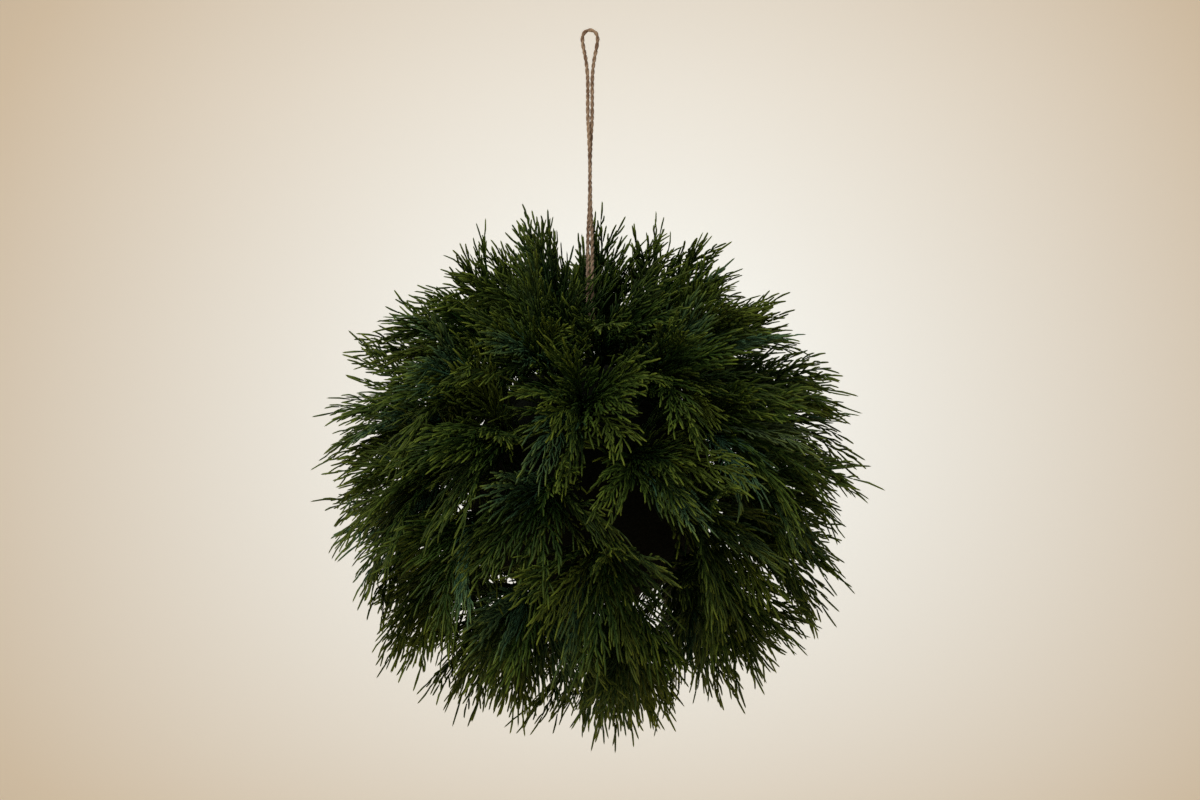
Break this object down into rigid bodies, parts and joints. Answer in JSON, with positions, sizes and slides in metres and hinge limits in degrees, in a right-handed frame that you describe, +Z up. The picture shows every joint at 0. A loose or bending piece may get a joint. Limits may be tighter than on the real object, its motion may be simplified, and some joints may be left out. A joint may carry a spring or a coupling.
{
  "type": "hanging cedar ball",
  "caption": "Round hanging ball of faux cedar sprigs pushed into a foam core, carried by a wire hairpin and hung on a doubled jute twine loop.",
  "frame": {"origin": "the point of a hook that the twine's loop rests on, inside the loop's top bend; the ball hangs straight below it", "axes": "+Z up along the hanging twine, +X to the viewer's right, +Y away from the viewer, so the front is on -Y"},
  "size_m": [0.3256, 0.3105, 0.436],
  "materials": {
    "foam": "dark green dyed closed-cell foam, matt",
    "wire": "green-black lacquered florist's wire, satin",
    "jute": "natural two-ply jute twine, hairy and matt",
    "cedar": "moulded polyethylene cedar foliage, deep green with olive tips, soft satin"
  },
  "bodies": {
    "root": {"foam_core": "foam", "hanger_pin": "wire", "twine_hitch": "jute", "twine_loop": "jute", "sprig_01": "cedar", "sprig_02": "cedar", "sprig_03": "cedar", "sprig_04": "cedar", "sprig_05": "cedar", "sprig_06": "cedar", "sprig_07": "cedar", "sprig_08": "cedar", "sprig_09": "cedar", "sprig_10": "cedar", "sprig_11": "cedar", "sprig_12": "cedar", "sprig_13": "cedar", "sprig_14": "cedar", "sprig_15": "cedar", "sprig_16": "cedar", "sprig_17": "cedar", "sprig_18": "cedar", "sprig_19": "cedar", "sprig_20": "cedar", "sprig_21": "cedar", "sprig_22": "cedar", "sprig_23": "cedar", "sprig_24": "cedar", "sprig_25": "cedar", "sprig_26": "cedar", "sprig_27": "cedar", "sprig_28": "cedar", "sprig_29": "cedar", "sprig_30": "cedar", "sprig_31": "cedar", "sprig_32": "cedar", "sprig_33": "cedar", "sprig_34": "cedar", "sprig_35": "cedar", "sprig_36": "cedar", "sprig_37": "cedar", "sprig_38": "cedar", "sprig_39": "cedar", "sprig_40": "cedar", "sprig_41": "cedar", "sprig_42": "cedar", "sprig_43": "cedar", "sprig_44": "cedar", "sprig_45": "cedar", "sprig_46": "cedar", "sprig_47": "cedar", "sprig_48": "cedar"}
  },
  "joints": []
}
